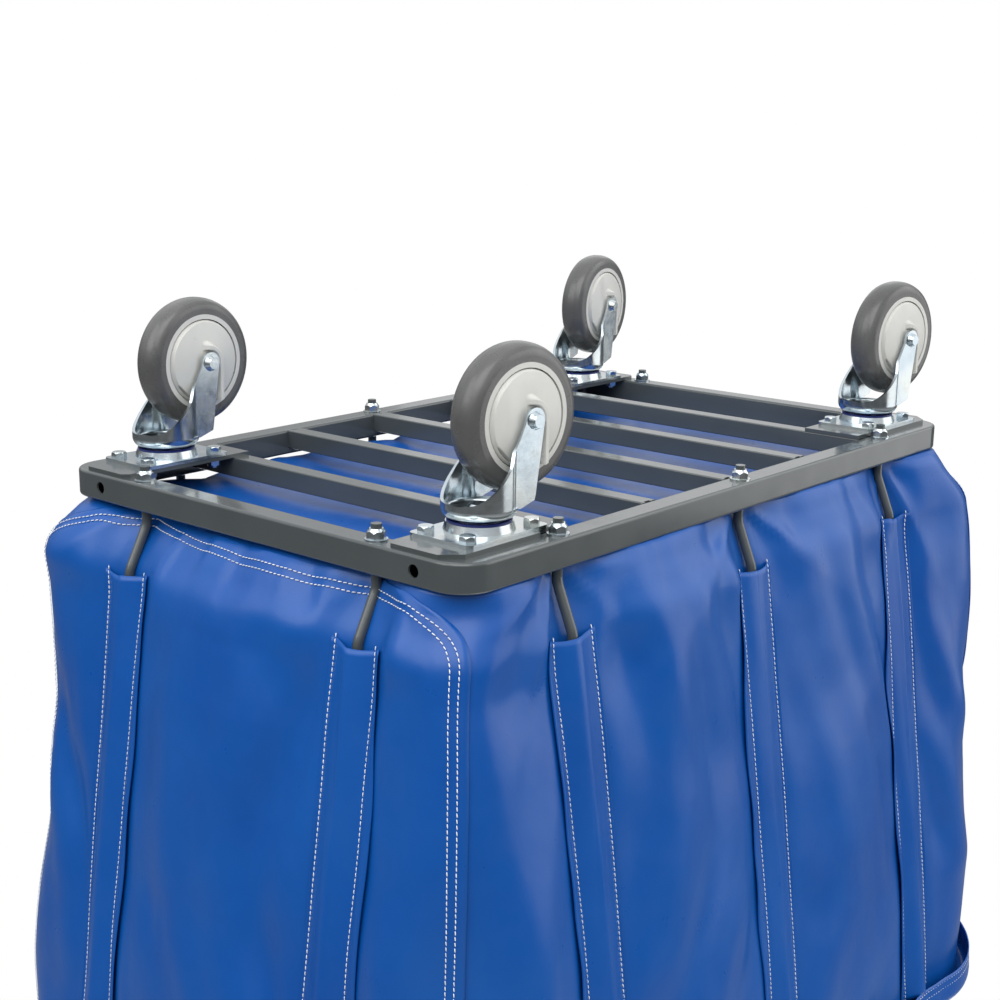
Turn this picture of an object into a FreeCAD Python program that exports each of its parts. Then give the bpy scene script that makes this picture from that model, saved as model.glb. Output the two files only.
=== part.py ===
"""Vinyl laundry hamper truck: a slatted steel base on swivel casters, with a bag held up by bows.

Frame: origin on the floor under the middle of the base, +X along the base, +Z up, millimetres.
Every caster trails towards +X, each turned a few degrees away from it.
"""
import FreeCAD, Part
import math
import os

V = FreeCAD.Vector
Z_AXIS = V(0, 0, 1)

# Wheels and casters
WHEEL_D = 127.0
WHEEL_W = 32.0
AXLE_Z = WHEEL_D / 2
TRAIL = 38.0
CASTER_X = 332.0
CASTER_Y = 209.5
CASTERS = {  # name: side along X, side along Y, swivel angle in degrees
    "a": (-1, 1, 5.9),
    "b": (-1, -1, -1.3),
    "c": (1, -1, -7.0),
    "d": (1, 1, 7.1),
}
RIM_R = 47.6
GUARD_R = 41.8
GUARD_GAP = 1.2
GUARD_IN = 14.0
HUB_R = 14.0
HUB_HALF = 20.0
AXLE_R = 5.0
SPACER_R = 7.5
RUN_CLEAR = 0.05
PRESS_CLEAR = 0.02
FORK_TOP = 144.6
FORK_SHEET = 2.8
CROWN_R = 33.0
CROWN_BEND = 10.0
LEG_HALF = 27.0
LEG_END_R = 11.0
LEG_REAR_X = 38.5
SEAL_Z = 145.0
SEAL_R, SEAL_BORE = 28.0, 24.5
CUP_Z = 147.0
CUP_R, CUP_BORE = 29.0, 24.0
PLATE_Z = 154.0
PLATE_TOP = 157.5
PLATE_L, PLATE_W = 102.0, 70.0
PLATE_CORNER_R = 6.0
BOLT_DX, BOLT_DY = 81.0, 47.0
BOLT_R = 4.0
BOLT_HOLE_R = 4.3
BOLT_AF = 13.0
BOLT_HEAD, BOLT_NUT, BOLT_END = 5.5, 6.5, 2.0
KINGPIN_R = 6.0
KINGPIN_HEAD_R = 11.0

# Base
RING_Z = 161.5
RING_L, RING_W = 825.0, 533.0
TUBE_W, TUBE_H = 25.4, 27.0
TUBE_EDGE_R = 3.0
RING_CORNER_R = 32.0
WALL = 2.0
SLAT = 20.0
SLAT_EDGE_R = 1.5
SLAT_PITCH = 132.5
SLATS = 5
NOTCH_L, NOTCH_D = 8.0, 2.5
END_HOLE_R = 5.75
END_HOLE_Y = 210.0
SUB_X0, SUB_X1 = 255.0, 409.0
SUB_Y0, SUB_Y1 = 175.0, 249.0

# Bows and posts
ROD_R = 4.75
ROD_HOLE_R = 5.25
SIDE_ROD_X = 281.5
END_ROD_Y = 155.5
KICK_Z0, KICK_Z1 = 203.0, 245.0
LEAN_X, LEAN_Y = 422.0, 271.5
TOP_X, TOP_Y = 505.0, 356.0
BOW_TOP = 829.0
BOW_BEND = 30.0
KICK_BEND = 22.0
NUT_AF, NUT_H = 15.0, 9.0
WASHER_R, WASHER_T = 10.0, 1.6
ROD_TIP = 4.0

# Bag
BAG_T = 2.0
BAG_GAP = 6.0
FLOOR_Z = RING_Z + TUBE_H + 0.4
RIM_Z = 836.0
HEM_TOP = 838.0
HEM_BOTTOM = 800.0
HEM_REACH = 12.5
FLOOR_BEND = 45.0
END_BEND = 10.0
FLOOR_CORNER_R = 15.0
LOW_CORNER_R = 20.0
TOP_CORNER_R = 160.0
SEAM_IN = 19.0
SEAM_BEND = 30.0
SLEEVE_HALF = 30.0
SLEEVE_T = 1.6
SLEEVE_FOOT = 250.0
SLEEVE_TOP = 797.0
SLEEVE_CLEAR = 0.3

ROD_X = RING_L / 2 - TUBE_W / 2
ROD_Y = RING_W / 2 - TUBE_W / 2
RING_TOP = RING_Z + TUBE_H
nodes = {}


def save(name, shape):
    """Keep one node, after checking that each of its solids is closed and valid."""
    if not shape.isValid() or not shape.Solids:
        raise ValueError(name + " is not a valid solid")
    nodes[name] = shape if len(shape.Solids) > 1 else shape.Solids[0]


def box(x0, x1, y0, y1, z0, z1):
    return Part.makeBox(x1 - x0, y1 - y0, z1 - z0, V(x0, y0, z0))


def cylinder(r, z0, z1, x=0.0, y=0.0):
    return Part.makeCylinder(r, z1 - z0, V(x, y, z0))


def rounded_wire(half_x, half_y, r, z):
    """A rounded rectangle, wound from the +X side's lower corner; lofts pair its edges one to one."""
    edges = []
    corners = [(1, -1, 270), (1, 1, 0), (-1, 1, 90), (-1, -1, 180)]
    for sx, sy, start in corners:
        centre = V(sx * (half_x - r), sy * (half_y - r), z)
        arc = [math.radians(start + a) for a in (0, 45, 90)]
        edges.append([centre + V(r * math.cos(a), r * math.sin(a), 0) for a in arc])
    parts = []
    for i, arc in enumerate(edges):
        parts.append(Part.Arc(*arc).toShape())
        parts.append(Part.LineSegment(arc[2], edges[(i + 1) % 4][0]).toShape())
    return Part.Wire(parts)


def rounded_slab(half_x, half_y, r, z0, z1):
    face = Part.Face(rounded_wire(half_x, half_y, r, z0))
    return face.extrude(V(0, 0, z1 - z0))


def polygon(points):
    return Part.Face(Part.makePolygon(list(points) + [points[0]]))


def hexagon(across_flats, z0, z1, x=0.0, y=0.0, turn=0.0):
    r = across_flats / math.sqrt(3)
    angles = [math.radians(60 * i + turn) for i in range(6)]
    face = polygon([V(x + r * math.cos(a), y + r * math.sin(a), z0) for a in angles])
    return face.extrude(V(0, 0, z1 - z0))


def hex_head(across_flats, z0, z1, x, y, up):
    """A hexagon whose outer corners are turned off by a cone, as on a bolt head or a nut."""
    h = z1 - z0
    wide, narrow = across_flats / math.sqrt(3) + 0.6 * h, 0.485 * across_flats
    radii = (wide, narrow) if up else (narrow, wide)
    cone = Part.makeCone(*radii, h, V(x, y, z0))
    return hexagon(across_flats, z0, z1, x, y, 30).common(cone)


def loft(wires):
    return Part.makeLoft(wires, True, True)


def mirrored(shape, normal):
    return shape.mirror(V(0, 0, 0), normal)


# ---------------------------------------------------------------- base frame

def long_edges(shape, level):
    """The edges of a slab's outline that lie wholly at one height."""
    return [e for e in shape.Edges if all(abs(v.Z - level) < 1e-6 for v in e.Vertexes)]


def ring_tube():
    """The bent rectangular tube that closes on itself, hollow, with its rod and end holes."""
    half_x, half_y = RING_L / 2, RING_W / 2
    inner_r = RING_CORNER_R - TUBE_W
    outer = rounded_slab(half_x, half_y, RING_CORNER_R, RING_Z, RING_TOP)
    hole = rounded_slab(half_x - TUBE_W, half_y - TUBE_W, inner_r, RING_Z - 1, RING_TOP + 1)
    ring = outer.cut(hole)
    rims = long_edges(ring, RING_Z) + long_edges(ring, RING_TOP)
    ring = ring.makeFillet(TUBE_EDGE_R, rims)
    core_r = RING_CORNER_R - WALL
    core = rounded_slab(half_x - WALL, half_y - WALL, core_r, RING_Z + WALL, RING_TOP - WALL)
    island_in = TUBE_W - WALL
    island = rounded_slab(half_x - island_in, half_y - island_in, inner_r + WALL, RING_Z, RING_TOP)
    ring = ring.cut(core.cut(island))
    for x, y in rod_places():
        ring = ring.cut(cylinder(ROD_HOLE_R, RING_Z - 1, RING_TOP + 1, x, y))
    for sx in (-1, 1):
        for sy in (-1, 1):
            start = V(sx * (half_x - 2 * WALL), sy * END_HOLE_Y, RING_Z + TUBE_H / 2)
            ring = ring.cut(Part.makeCylinder(END_HOLE_R, 4 * WALL, start, V(sx, 0, 0)))
    return ring


def slat(x):
    """A square tube across the base, flush with the ring's underside, nicked at both ends."""
    half_y = RING_W / 2 - TUBE_W
    tube = box(x - SLAT / 2, x + SLAT / 2, -half_y, half_y, RING_Z, RING_Z + SLAT)
    along = [e for e in tube.Edges if abs(e.Vertexes[0].Y - e.Vertexes[1].Y) > 1]
    tube = tube.makeFillet(SLAT_EDGE_R, along)
    inside = SLAT / 2 - WALL
    tube = tube.cut(box(x - inside, x + inside, -half_y, half_y, RING_Z + WALL, RING_Z + SLAT - WALL))
    notch_x = x - NOTCH_L / 4
    for side in (-1, 1):
        y0, y1 = sorted((side * (half_y - NOTCH_D), side * (half_y + 1)))
        nick = box(notch_x - NOTCH_L / 2, notch_x + NOTCH_L / 2, y0, y1, RING_Z - 1, RING_Z + WALL + 1)
        tube = tube.cut(nick)
    return tube


def caster_plate(sx, sy):
    """The steel plate welded under one corner; a bite clears the nearest bow nut."""
    chamfer, nip, bite, bite_x = 16.0, 6.0, 8.0, SIDE_ROD_X + 13.5
    outline = [
        (SUB_X0, SUB_Y0), (SUB_X1 - nip, SUB_Y0), (SUB_X1, SUB_Y0 + nip), (SUB_X1, SUB_Y1 - chamfer),
        (SUB_X1 - chamfer, SUB_Y1), (bite_x + bite / 2, SUB_Y1),
        (bite_x, SUB_Y1 - bite), (SUB_X0, SUB_Y1 - bite),
    ]
    z0 = PLATE_TOP
    plate = polygon([V(x, y, z0) for x, y in outline]).extrude(V(0, 0, RING_Z - z0))
    for dx, dy in bolt_places():
        plate = plate.cut(cylinder(BOLT_HOLE_R, z0 - 1, RING_Z + 1, CASTER_X + dx, CASTER_Y + dy))
    plate = plate.cut(cylinder(2 * KINGPIN_R, z0 - 1, RING_Z + 1, CASTER_X, CASTER_Y))
    if sx < 0:
        plate = mirrored(plate, V(1, 0, 0))
    return plate if sy > 0 else mirrored(plate, V(0, 1, 0))


# ------------------------------------------------------------- bows and posts

def rod_places():
    """Where the ten upright legs pass through the ring."""
    places = [(sx * ROD_X, sy * END_ROD_Y) for sx in (-1, 1) for sy in (-1, 1)]
    return places + [(x, sy * ROD_Y) for sy in (-1, 1) for x in (-SIDE_ROD_X, 0.0, SIDE_ROD_X)]


def reach(z, base, low, top):
    """How far out a leg stands at one height: upright, then kicked out, then leaning."""
    if z <= KICK_Z0:
        return base
    if z <= KICK_Z1:
        return base + (low - base) * (z - KICK_Z0) / (KICK_Z1 - KICK_Z0)
    return low + (top - low) * (z - KICK_Z1) / (BOW_TOP - KICK_Z1)


def reach_x(z):
    return reach(z, ROD_X, LEAN_X, TOP_X)


def reach_y(z):
    return reach(z, ROD_Y, LEAN_Y, TOP_Y)


def bent_rod(points, radii):
    """A round rod along straight runs joined by tangent arcs."""
    edges = []
    start = points[0]
    for before, corner, after, r in zip(points, points[1:], points[2:], radii):
        u = (before - corner).normalize()
        w = (after - corner).normalize()
        half = u.getAngle(w) / 2
        cut_back = r / math.tan(half)
        middle = corner + (u + w).normalize() * (r / math.sin(half) - r)
        edges.append(Part.LineSegment(start, corner + u * cut_back).toShape())
        edges.append(Part.Arc(corner + u * cut_back, middle, corner + w * cut_back).toShape())
        start = corner + w * cut_back
    edges.append(Part.LineSegment(start, points[-1]).toShape())
    path = Part.Wire(edges)
    profile = Part.Wire([Part.makeCircle(ROD_R, points[0], points[1] - points[0])])
    return path.makePipeShell([profile], True, False)


def rod_bottom():
    return RING_Z - WASHER_T - NUT_H - ROD_TIP


def bow(place):
    """A bow with two legs; place(s, out) gives the plan point of a leg on side s at a reach."""
    heights = [rod_bottom(), KICK_Z0, KICK_Z1, BOW_TOP]
    legs = [[place(s, z) for z in heights] for s in (-1, 1)]
    bends = [KICK_BEND, KICK_BEND, BOW_BEND]
    return bent_rod(legs[0] + legs[1][::-1], bends + bends[::-1])


def end_bow(sx):
    return bow(lambda s, z: V(sx * reach_x(z), s * END_ROD_Y, z))


def side_bow(sy):
    return bow(lambda s, z: V(s * SIDE_ROD_X, sy * reach_y(z), z))


def post(sy):
    """The single middle leg of a long side, ending under the bow's top bar."""
    heights = [rod_bottom(), KICK_Z0, KICK_Z1, BOW_TOP - 2 * ROD_R - 1]
    return bent_rod([V(0, sy * reach_y(z), z) for z in heights], [KICK_BEND, KICK_BEND])


def rod_nuts():
    """Lock nuts: a hexagon with a low round collar below."""
    top = RING_Z - WASHER_T
    collar_h, collar_r = 2.0, NUT_AF / 2 - 0.4
    solids = []
    for x, y in rod_places():
        nut = hex_head(NUT_AF, top - NUT_H + collar_h, top, x, y, False)
        collar = Part.makeCone(0.85 * collar_r, collar_r, collar_h, V(x, y, top - NUT_H))
        bore = cylinder(ROD_R + PRESS_CLEAR, top - NUT_H - 1, top + 1, x, y)
        solids.append(nut.fuse(collar).cut(bore))
    return Part.makeCompound(solids)


def rod_washers():
    solids = []
    for x, y in rod_places():
        disc = cylinder(WASHER_R, RING_Z - WASHER_T, RING_Z, x, y)
        solids.append(disc.cut(cylinder(ROD_HOLE_R, RING_Z - 5, RING_Z + 5, x, y)))
    return Part.makeCompound(solids)


# ------------------------------------------------------------------------ bag

def panel_half(z):
    """Half the bag's length and width at one height, to the fabric's outer face inside the legs."""
    return reach_x(z) - BAG_GAP, reach_y(z) - BAG_GAP


def bag_levels(grow, bottom, top):
    """Rounded rectangles up the bag, drawn grow outside the fabric's outer face."""
    roll = FLOOR_Z + 4.0
    steps = [  # height, and how far the end and the side stand in from the legs
        (bottom, END_BEND, FLOOR_BEND),
        (roll, 0.35 * END_BEND, 0.6 * FLOOR_BEND),
        (KICK_Z0, 0.0, 0.3 * FLOOR_BEND),
        ((KICK_Z0 + KICK_Z1) / 2 - 4, 0.0, 0.08 * FLOOR_BEND),
        (KICK_Z1, 0.0, 0.0),
        (top, 0.0, 0.0),
    ]
    wires = []
    for z, in_x, in_y in steps:
        share = max(0.0, (z - KICK_Z1) / (BOW_TOP - KICK_Z1))
        r = LOW_CORNER_R + (TOP_CORNER_R - LOW_CORNER_R) * share
        if z <= roll:
            r = FLOOR_CORNER_R
        half_x, half_y = panel_half(z)
        wires.append(rounded_wire(half_x - in_x + grow, half_y - in_y + grow, r + grow, z))
    return wires


def bag_shell():
    outer = loft(bag_levels(0.0, FLOOR_Z, RIM_Z))
    inner = loft(bag_levels(-BAG_T, FLOOR_Z + BAG_T, RIM_Z + 1))
    return outer.cut(inner)


def end_window(sx):
    """The block that bounds one end panel: its seam follows this outline."""
    low, high = panel_half(KICK_Z1)[1] - SEAM_IN, panel_half(RIM_Z)[1] - SEAM_IN
    foot = FLOOR_Z + SEAM_IN
    r = SEAM_BEND
    sweep = r * math.sqrt(0.5)
    x = sx * 0.75 * ROD_X
    left = [
        V(x, -high, RIM_Z + 2), V(x, -low, KICK_Z1),
        V(x, -low + r - sweep, foot + r - sweep), V(x, -low + r, foot),
    ]
    right = [V(x, -p.y, p.z) for p in left]
    edges = [
        Part.LineSegment(left[0], left[1]).toShape(),
        Part.LineSegment(left[1], V(x, -low, foot + r)).toShape(),
        Part.Arc(V(x, -low, foot + r), left[2], left[3]).toShape(),
        Part.LineSegment(left[3], right[3]).toShape(),
        Part.Arc(right[3], right[2], V(x, low, foot + r)).toShape(),
        Part.LineSegment(V(x, low, foot + r), right[1]).toShape(),
        Part.LineSegment(right[1], right[0]).toShape(),
        Part.LineSegment(right[0], left[0]).toShape(),
    ]
    return Part.Face(Part.Wire(edges)).extrude(V(sx * ROD_X, 0, 0))


def hem():
    """The folded band round the mouth: an outer strip and the turn over the bows."""
    def ring(grow_out, grow_in, z0, z1):
        def section(grow, z):
            half_x, half_y = panel_half(z)
            return rounded_wire(half_x + grow, half_y + grow, TOP_CORNER_R + grow, z)
        outer = loft([section(grow_out, z0), section(grow_out, z1)])
        inner = loft([section(grow_in, z0 - 1), section(grow_in, z1 + 1)])
        return outer.cut(inner)
    skirt = ring(HEM_REACH + BAG_T, HEM_REACH, HEM_BOTTOM, RIM_Z)
    turn = ring(HEM_REACH + BAG_T, -BAG_T, RIM_Z, HEM_TOP)
    return skirt.fuse(turn).removeSplitter()


def sleeve(foot, head, out):
    """A strip sewn over one leg from foot to head; out is the fabric's outward direction."""
    along = (head - foot).normalize()
    side = along.cross(out).normalize()
    normal = side.cross(along).normalize()
    hump = ROD_R + SLEEVE_CLEAR
    base = -ROD_R - SLEEVE_CLEAR
    outer_r = hump + SLEEVE_T

    def at(s, n):
        return foot + side * s + normal * n

    def arch(r):
        level = base + SLEEVE_T if r == outer_r else base
        return [
            Part.LineSegment(at(-r, level), at(-r, 0)).toShape(),
            Part.Arc(at(-r, 0), at(0, r), at(r, 0)).toShape(),
            Part.LineSegment(at(r, 0), at(r, level)).toShape(),
        ]

    edges = arch(outer_r) + arch(hump)
    for s in (-1, 1):
        corner = at(s * SLEEVE_HALF, base + SLEEVE_T)
        foot_corner = at(s * SLEEVE_HALF, base)
        edges.append(Part.LineSegment(at(s * outer_r, base + SLEEVE_T), corner).toShape())
        edges.append(Part.LineSegment(corner, foot_corner).toShape())
        edges.append(Part.LineSegment(foot_corner, at(s * hump, base)).toShape())
    wire = Part.Wire(Part.__sortEdges__(edges))
    return Part.Face(wire).extrude(head - foot)


def sleeves(places):
    solids = []
    for leg, out in places:
        solids.append(sleeve(leg(SLEEVE_FOOT), leg(SLEEVE_TOP), out))
    return Part.makeCompound(solids)


def end_sleeves():
    return sleeves([
        (lambda z, sx=sx, sy=sy: V(sx * reach_x(z), sy * END_ROD_Y, z), V(sx, 0, 0))
        for sx in (-1, 1) for sy in (-1, 1)
    ])


def side_sleeves():
    return sleeves([
        (lambda z, x=x, sy=sy: V(x, sy * reach_y(z), z), V(0, sy, 0))
        for sy in (-1, 1) for x in (-SIDE_ROD_X, 0.0, SIDE_ROD_X)
    ])


# -------------------------------------------------------------------- casters
# Each is drawn with its swivel axis on the Z axis and its wheel trailing towards +X, then put in place.

def bolt_places():
    return [(sx * BOLT_DX / 2, sy * BOLT_DY / 2) for sx in (-1, 1) for sy in (-1, 1)]


def top_plate():
    """The plate and the bearing cup pressed in it."""
    depth = 3.0
    plate = rounded_slab(PLATE_L / 2, PLATE_W / 2, PLATE_CORNER_R, PLATE_Z, PLATE_TOP)
    cup = Part.makeCone(CUP_R, CUP_R + 2, PLATE_Z - CUP_Z, V(0, 0, CUP_Z))
    cup = cup.cut(cylinder(CUP_BORE, CUP_Z - 1, CUP_Z + depth))
    solid = plate.fuse(cup).cut(cylinder(KINGPIN_R, CUP_Z, PLATE_TOP + 1))
    for x, y in bolt_places():
        solid = solid.cut(cylinder(BOLT_HOLE_R, PLATE_Z - 1, PLATE_TOP + 1, x, y))
    return solid.removeSplitter()


def seal_ring():
    return cylinder(SEAL_R, SEAL_Z, CUP_Z).cut(cylinder(SEAL_BORE, SEAL_Z - 1, CUP_Z + 1))


def kingpin():
    """The rivet that the fork turns on, headed over both ends."""
    head_top = FORK_TOP - FORK_SHEET - 0.4
    rim, dome, upset = 4.9, 3.5, 3.0
    shank = cylinder(KINGPIN_R, head_top - rim, PLATE_TOP + upset)
    head = cylinder(KINGPIN_HEAD_R, head_top - rim, head_top)
    low = V(0, 0, head_top - rim - dome)
    head = head.fuse(Part.makeCone(KINGPIN_HEAD_R - 3, KINGPIN_HEAD_R, dome, low))
    upper = Part.makeCone(1.5 * KINGPIN_R, 1.2 * KINGPIN_R, upset, V(0, 0, PLATE_TOP))
    return shank.fuse(head).fuse(upper).removeSplitter()


def plate_bolts():
    """Four hex bolts up through both plates, each with its nut on top."""
    nut_top = RING_Z + BOLT_NUT
    solids = []
    for x, y in bolt_places():
        head = hex_head(BOLT_AF, PLATE_Z - BOLT_HEAD, PLATE_Z, x, y, False)
        shank = cylinder(BOLT_R, PLATE_Z - 0.1, nut_top + BOLT_END, x, y)
        solids.append(head.fuse(shank).removeSplitter())
        nut = hex_head(BOLT_AF, RING_Z, nut_top, x, y, True)
        solids.append(nut.cut(cylinder(BOLT_R + PRESS_CLEAR, RING_Z - 1, nut_top + 1, x, y)))
    return Part.makeCompound(solids)


def leg_outline(half_width):
    """The fork's side view: a swept front edge, a round end about the axle and a straight rear edge."""
    def at(x, z):
        return V(x, half_width, z)

    lip, sweep = at(-24, 129), at(4, 101)
    front_end = at(TRAIL - LEG_END_R, AXLE_Z + 2)
    low_end = at(TRAIL, AXLE_Z - LEG_END_R)
    rear_end = at(TRAIL + LEG_END_R, AXLE_Z)
    heel, neck, neck_top = at(LEG_REAR_X, 131), at(14, 135), at(13, FORK_TOP + 1)
    nose, nose_top = at(-40, 132), at(-40, FORK_TOP + 1)
    straight = [rear_end, heel, neck, neck_top, nose_top, nose, lip]
    edges = [Part.Arc(lip, sweep, front_end).toShape(), Part.Arc(front_end, low_end, rear_end).toShape()]
    edges += [Part.LineSegment(a, b).toShape() for a, b in zip(straight, straight[1:])]
    return Part.Face(Part.Wire(edges)).extrude(V(0, -2 * half_width, 0))


def crown_bowl(inset, foot):
    """The crown as a solid, bent over at the top and run out to the rear, drawn inset from its outside."""
    r, top = CROWN_R - inset, FORK_TOP - inset
    solid = cylinder(r, foot, top).fuse(box(0, 2 * CROWN_R, -r, r, foot, top)).removeSplitter()
    return solid.makeFillet(CROWN_BEND - inset, long_edges(solid, top))


def fork():
    """Pressed steel: a bowl-shaped crown whose wall runs back into two legs that close in on the hub."""
    joggle_top, joggle_low, leg_low = 108.0, 90.0, 40.0
    front, length = -10.0, 70.0
    wall = crown_bowl(0.0, joggle_top).cut(crown_bowl(FORK_SHEET, joggle_top))
    strips = []
    for s in (-1, 1):
        line = [(CROWN_R, joggle_top), (LEG_HALF, joggle_low), (LEG_HALF, leg_low)]
        outer = [V(front, s * y, z) for y, z in line]
        inner = [V(front, s * (y - FORK_SHEET), z) for y, z in reversed(line)]
        strips.append(polygon(outer + inner).extrude(V(length, 0, 0)))
    pressed = wall.fuse(strips).common(leg_outline(2 * CROWN_R))
    disc_r, disc_edge = CROWN_R - CROWN_BEND + 4.0, 2.0
    disc = cylinder(disc_r, FORK_TOP - FORK_SHEET, FORK_TOP)
    disc = disc.makeFillet(disc_edge, long_edges(disc, FORK_TOP))
    race_r, race_half, race_depth = 17.0, 4.0, 2.4
    race = Part.makeTorus(race_r, race_half, V(0, 0, FORK_TOP - FORK_SHEET - race_depth + race_half))
    race = race.common(cylinder(disc_r, FORK_TOP - 2 * CROWN_BEND, FORK_TOP - FORK_SHEET / 2))
    solid = pressed.fuse([disc, race])
    solid = solid.cut(cylinder(KINGPIN_R + RUN_CLEAR, FORK_TOP - CROWN_BEND, FORK_TOP + 1))
    start = V(TRAIL, -2 * CROWN_R, AXLE_Z)
    pin = Part.makeCylinder(AXLE_R + PRESS_CLEAR, 4 * CROWN_R, start, V(0, 1, 0))
    return solid.cut(pin).removeSplitter()


def about_axle(points):
    """Turn (radius, offset along the axle) points into a ring round the axle."""
    centre = V(TRAIL, 0, AXLE_Z)
    return polygon([centre + V(r, h, 0) for r, h in points]).revolve(centre, V(0, 1, 0), 360)


def along_axle(shape):
    """Lay a shape drawn along +Z on the axle, pointing towards +Y."""
    turned = shape.copy()
    turned.rotate(V(0, 0, 0), V(1, 0, 0), -90)
    turned.translate(V(TRAIL, 0, AXLE_Z))
    return turned


def axle():
    """The axle bolt with a domed head, its nut, and the spacer tube that the wheel turns on."""
    bore_r = AXLE_R + PRESS_CLEAR
    dome_low, dome_top, dome_h = 8.0, 5.5, 5.0
    hex_af, hex_h, hex_turn = 12.0, 3.5, 10.0
    nut_af, nut_h, end = 13.0, 6.5, 1.5
    bolt = cylinder(AXLE_R, -LEG_HALF - nut_h - end, LEG_HALF + 1)
    head = Part.makeCone(dome_low, dome_top, dome_h, V(0, 0, LEG_HALF))
    head = head.fuse(hexagon(hex_af, LEG_HALF, LEG_HALF + hex_h, 0, 0, hex_turn))
    nut = hex_head(nut_af, -LEG_HALF - nut_h, -LEG_HALF, 0, 0, False)
    nut = nut.cut(cylinder(bore_r, -2 * LEG_HALF, 0))
    half = HUB_HALF + 0.3
    spacer = cylinder(SPACER_R, -half, half).cut(cylinder(bore_r, -2 * half, 2 * half))
    return Part.makeCompound([along_axle(s) for s in (bolt.fuse(head).removeSplitter(), nut, spacer)])


def guard():
    """One thread guard: a shallow dished disc with a raised wall round the leg's end."""
    leg_in = LEG_HALF - FORK_SHEET
    bore, hub_face = AXLE_R + PRESS_CLEAR, HUB_HALF + 0.3
    rim_out, dish_r, dish_out, boss_out = 16.6, 36.0, 17.8, 20.5
    disc = about_axle([
        (bore, hub_face), (HUB_R + 2, hub_face), (HUB_R + 3, GUARD_IN), (GUARD_R, GUARD_IN),
        (GUARD_R, rim_out), (dish_r, dish_out), (HUB_R + 6, boss_out), (HUB_R + 1, leg_in), (bore, leg_in),
    ])

    def horseshoe(r, y0, y1):
        arch = Part.makeCylinder(r, y1 - y0, V(TRAIL, y0, AXLE_Z), V(0, 1, 0))
        return arch.fuse(box(TRAIL - r, TRAIL + r, y0, y1, AXLE_Z, AXLE_Z + GUARD_R))

    wall_in, wall_out, wall_foot = LEG_END_R + 1.2, LEG_END_R + 5.5, GUARD_IN + 3
    wall = horseshoe(wall_out, wall_foot, LEG_HALF - 0.6).cut(horseshoe(wall_in, GUARD_IN, LEG_HALF + 1))
    inside = Part.makeCylinder(GUARD_R, LEG_HALF, V(TRAIL, GUARD_IN, AXLE_Z), V(0, 1, 0))
    hub_room = Part.makeCylinder(HUB_R + 2, hub_face, V(TRAIL, 0, AXLE_Z), V(0, 1, 0))
    wall = wall.common(inside).cut(hub_room)
    return disc.fuse(wall).cut(leg_room()).removeSplitter()


def leg_room():
    """The room that one leg takes beside the guard, with a little clearance."""
    clear, beyond = 0.4, 9.0
    leg_in, crown_in = LEG_HALF - FORK_SHEET - clear, CROWN_R - FORK_SHEET - clear
    low, bend, joggle, high = 45.0, 90.0, 108.0, 112.0
    outline = [
        (CROWN_R + beyond, high), (LEG_HALF + beyond, bend), (LEG_HALF + beyond, low),
        (leg_in, low), (leg_in, bend), (crown_in, joggle),
    ]
    slab = polygon([V(-CROWN_R, y, z) for y, z in outline]).extrude(V(3 * CROWN_R, 0, 0))
    centre = V(TRAIL, 0, AXLE_Z)
    r = LEG_END_R + 1.2
    foot = Part.makeCylinder(r, 2 * CROWN_R, centre, V(0, 1, 0))
    rear, front, mid = V(LEG_REAR_X + 2.5, 0, 140), V(-40, 0, 140), V(-6, 0, 101)
    side = [centre + V(-r, 0, 0), centre + V(r, 0, 0), rear, front, mid]
    shaft = polygon(side).extrude(V(0, 2 * CROWN_R, 0))
    return slab.common(foot.fuse(shaft))


def guards():
    near = guard()
    return Part.makeCompound([near, mirrored(near, V(0, 1, 0))])


def wheel_core():
    """The moulded centre: hub, web and rim, with a step in the rim face round each guard."""
    half = WHEEL_W / 2
    pocket, pocket_in = GUARD_R + GUARD_GAP, GUARD_IN - 1.5
    web, web_r, rim_in = 4.0, 38.0, 40.0
    side = [
        (SPACER_R + RUN_CLEAR, HUB_HALF), (HUB_R, HUB_HALF), (HUB_R, web), (web_r, web), (rim_in, pocket_in),
        (pocket, pocket_in), (pocket, half + 0.3), (RIM_R, half),
    ]
    return about_axle(side + [(r, -h) for r, h in reversed(side)])


def tyre():
    """A round-shouldered rubber tread bonded to the rim."""
    half, r = WHEEL_W / 2, WHEEL_D / 2
    foot, wall = (RIM_R, half), (RIM_R + 5.5, half - 0.1)
    wall_mid, shoulder = (r - 6.0, half - 1.6), (r - 2.9, half - 4.2)
    crown, tread = (r - 0.9, half - 8.6), (r, 0.0)
    centre = V(TRAIL, 0, AXLE_Z)

    def at(point, sign=1):
        return centre + V(point[0], sign * point[1], 0)

    edges = [Part.LineSegment(at(foot, -1), at(foot)).toShape()]
    for sign in (-1, 1):
        edges.append(Part.LineSegment(at(foot, sign), at(wall, sign)).toShape())
        edges.append(Part.Arc(at(wall, sign), at(wall_mid, sign), at(shoulder, sign)).toShape())
        edges.append(Part.Arc(at(shoulder, sign), at(crown, sign), at(tread)).toShape())
    outline = Part.Wire(Part.__sortEdges__(edges))
    return Part.Face(outline).revolve(centre, V(0, 1, 0), 360)


def placed(shape, caster, swivelled):
    """Move a part drawn about the Z axis to its caster, turned with the fork if it swivels."""
    sx, sy, angle = CASTERS[caster]
    moved = shape.copy()
    if swivelled:
        moved.rotate(V(0, 0, 0), Z_AXIS, angle)
    moved.translate(V(sx * CASTER_X, sy * CASTER_Y, 0))
    return moved


# ------------------------------------------------------------------- assembly

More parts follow.
